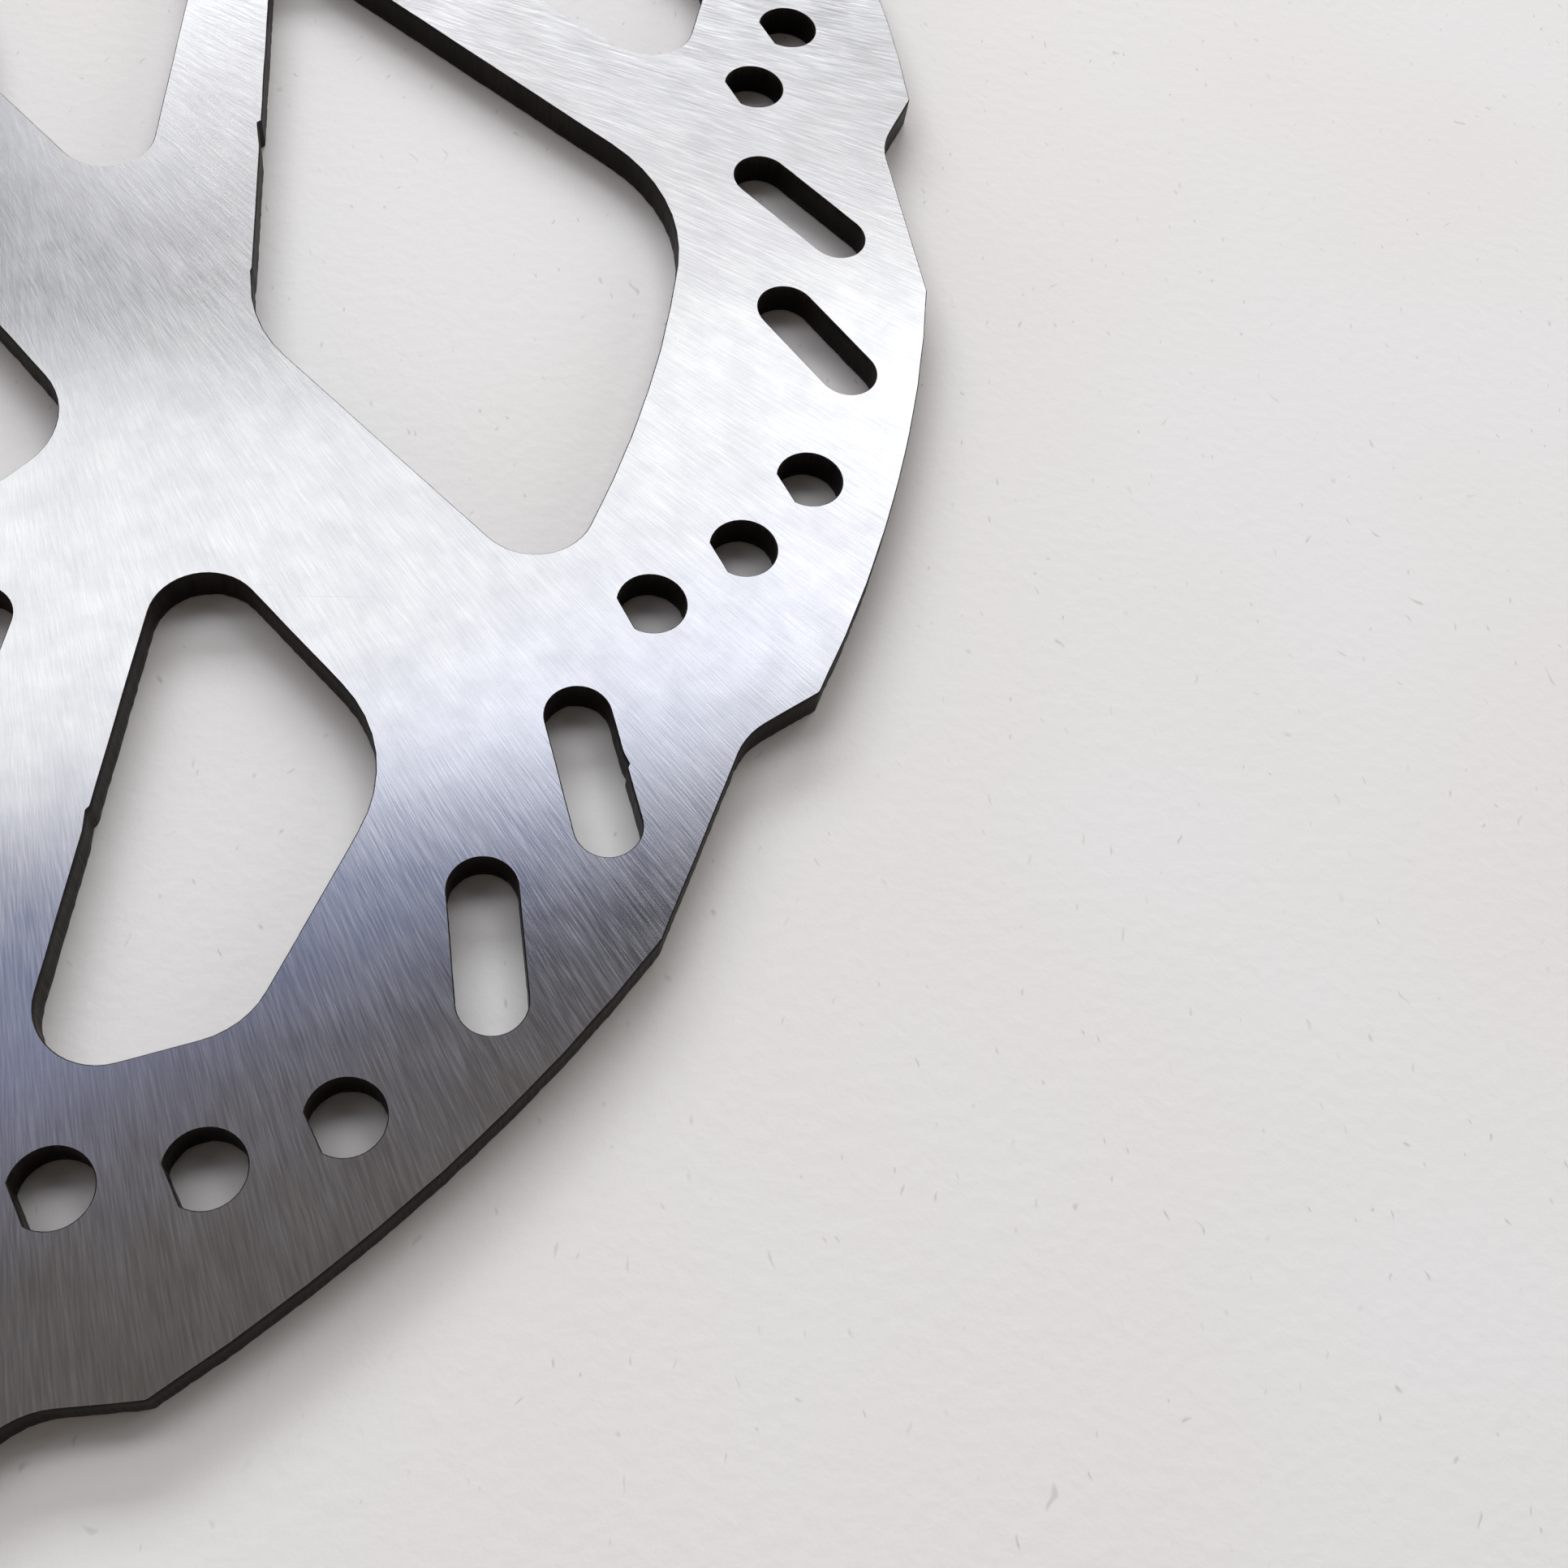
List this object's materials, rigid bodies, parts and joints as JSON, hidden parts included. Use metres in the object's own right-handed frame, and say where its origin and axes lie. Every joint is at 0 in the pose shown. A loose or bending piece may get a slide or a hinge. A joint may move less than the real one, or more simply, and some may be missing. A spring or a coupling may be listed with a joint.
{
  "type": "motorcycle brake disc",
  "caption": "Flat one-piece motorcycle brake disc: notched rim, pad track with round vents and slanted slots, swept arms between large windows, hub ring with bore and bolt holes.",
  "frame": {"origin": "on the disc's axis, in the plane of its back face, which is the face that seats on the wheel hub", "axes": "+Z is the disc's axis, out of its front face; seen from the front, the arms sweep clockwise as they leave the hub; +X passes 2.2 degrees clockwise of one bolt hole"},
  "size_m": [0.2696, 0.2696, 0.003],
  "materials": {
    "disc_steel": "faces ground with long fine swirl marks, cut edges dark and matt"
  },
  "bodies": {
    "root": {"brake_disc": "disc_steel"}
  },
  "joints": []
}
